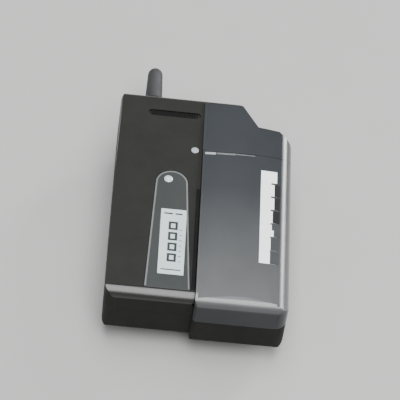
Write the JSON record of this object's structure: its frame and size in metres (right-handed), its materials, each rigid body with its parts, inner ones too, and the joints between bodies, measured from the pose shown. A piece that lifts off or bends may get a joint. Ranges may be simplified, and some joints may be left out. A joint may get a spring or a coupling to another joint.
{
  "type": "wireless bodypack transmitter",
  "caption": "Flat two-cell bodypack transmitter with a stub antenna, screw-lock input, sliding battery cover and wire belt clip.",
  "frame": {"origin": "middle of the box that holds the whole part, on the surface the part lies on", "axes": "+Y from the lower end towards the antenna, +Z out of the front face, +X towards the raised half with the battery cover"},
  "size_m": [0.07, 0.131, 0.032],
  "materials": {
    "case_plastic": "fine spark-eroded matte texture",
    "panel_plastic": "fine matte texture",
    "cover_plastic": "satin, smoother than the case",
    "steel": "zinc plated steel",
    "clip_wire": "black oxide spring wire",
    "inlay_gloss": "glossy smoke inlay",
    "label_film": "pale coated film",
    "lens": "milky clear resin",
    "mark_white": "white inlaid bars",
    "rear_label_film": "silver-grey coated film",
    "antenna_rubber": "matte rubber",
    "nickel": "bright nickel plating",
    "gold": "gold flash on brass",
    "black_nylon": "moulded nylon",
    "button_plastic": "soft-touch plastic",
    "pair_red": "moulded plastic",
    "trim_white": "moulded nylon",
    "trim_blue": "moulded plastic",
    "display_window": "dark red display window",
    "board_green": "solder mask over glass laminate",
    "chip_black": "epoxy",
    "led_resin": "clear resin",
    "cell_can": "printed sleeve over a can"
  },
  "bodies": {
    "case": {"rear_case": "case_plastic", "front_case": "case_plastic", "top_panel": "panel_plastic", "case_screws": "steel", "inlay_plate": "inlay_gloss", "inlay_label": "label_film", "indicator_lens": "lens", "light_pipe": "lens", "antenna_sleeve": "antenna_rubber", "antenna_ferrule": "nickel", "antenna_core": "gold", "antenna_contact": "gold", "connector_barrel": "nickel", "connector_nut": "nickel", "connector_insulator": "black_nylon", "connector_pins": "gold", "power_switch": "black_nylon", "pair_switch": "black_nylon", "trim_body": "trim_blue", "id_display": "display_window", "main_pcb": "board_green", "control_board": "board_green", "board_header": "gold", "rf_shield": "steel", "ic_chips": "chip_black", "status_leds": "led_resin", "battery_tray": "black_nylon", "cell_left": "cell_can", "cell_right": "cell_can", "contact_positive": "nickel", "contact_negative": "nickel", "contact_link": "nickel", "clip_bracket": "steel", "bracket_screws": "steel", "rear_label": "rear_label_film"},
    "cover": {"battery_cover": "cover_plastic", "cover_mark": "mark_white"},
    "power_key": {"power_button": "button_plastic"},
    "pair_key": {"pair_button": "pair_red"},
    "trim": {"trim_rotor": "trim_white"},
    "clip": {"belt_clip": "clip_wire"}
  },
  "joints": [
    {"name": "battery_cover_slide", "type": "slide", "parent": "case", "child": "cover", "axis": [0, -1, 0], "range_m": [0, 0.066]},
    {"name": "power_button_press", "type": "slide", "parent": "case", "child": "power_key", "axis": [-0.8603, -0.5098, 0], "range_m": [0, 0.001], "stiffness_N_per_m": 400, "springref_m": -0.002},
    {"name": "pair_button_press", "type": "slide", "parent": "case", "child": "pair_key", "axis": [0, 0, -1], "range_m": [0, 0.0005], "stiffness_N_per_m": 400, "springref_m": -0.002},
    {"name": "trim_turn", "type": "hinge", "parent": "case", "child": "trim", "pos_m": [0.016, 0.0035, 0.0222], "axis": [0, 0, 1], "range_deg": [-135, 135]},
    {"name": "belt_clip_swing", "type": "hinge", "parent": "case", "child": "clip", "pos_m": [0, 0.0225, 0.004], "axis": [1, 0, 0], "range_deg": [0, 18], "stiffness_Nm_per_rad": 0.6, "springref_deg": -20.05}
  ]
}
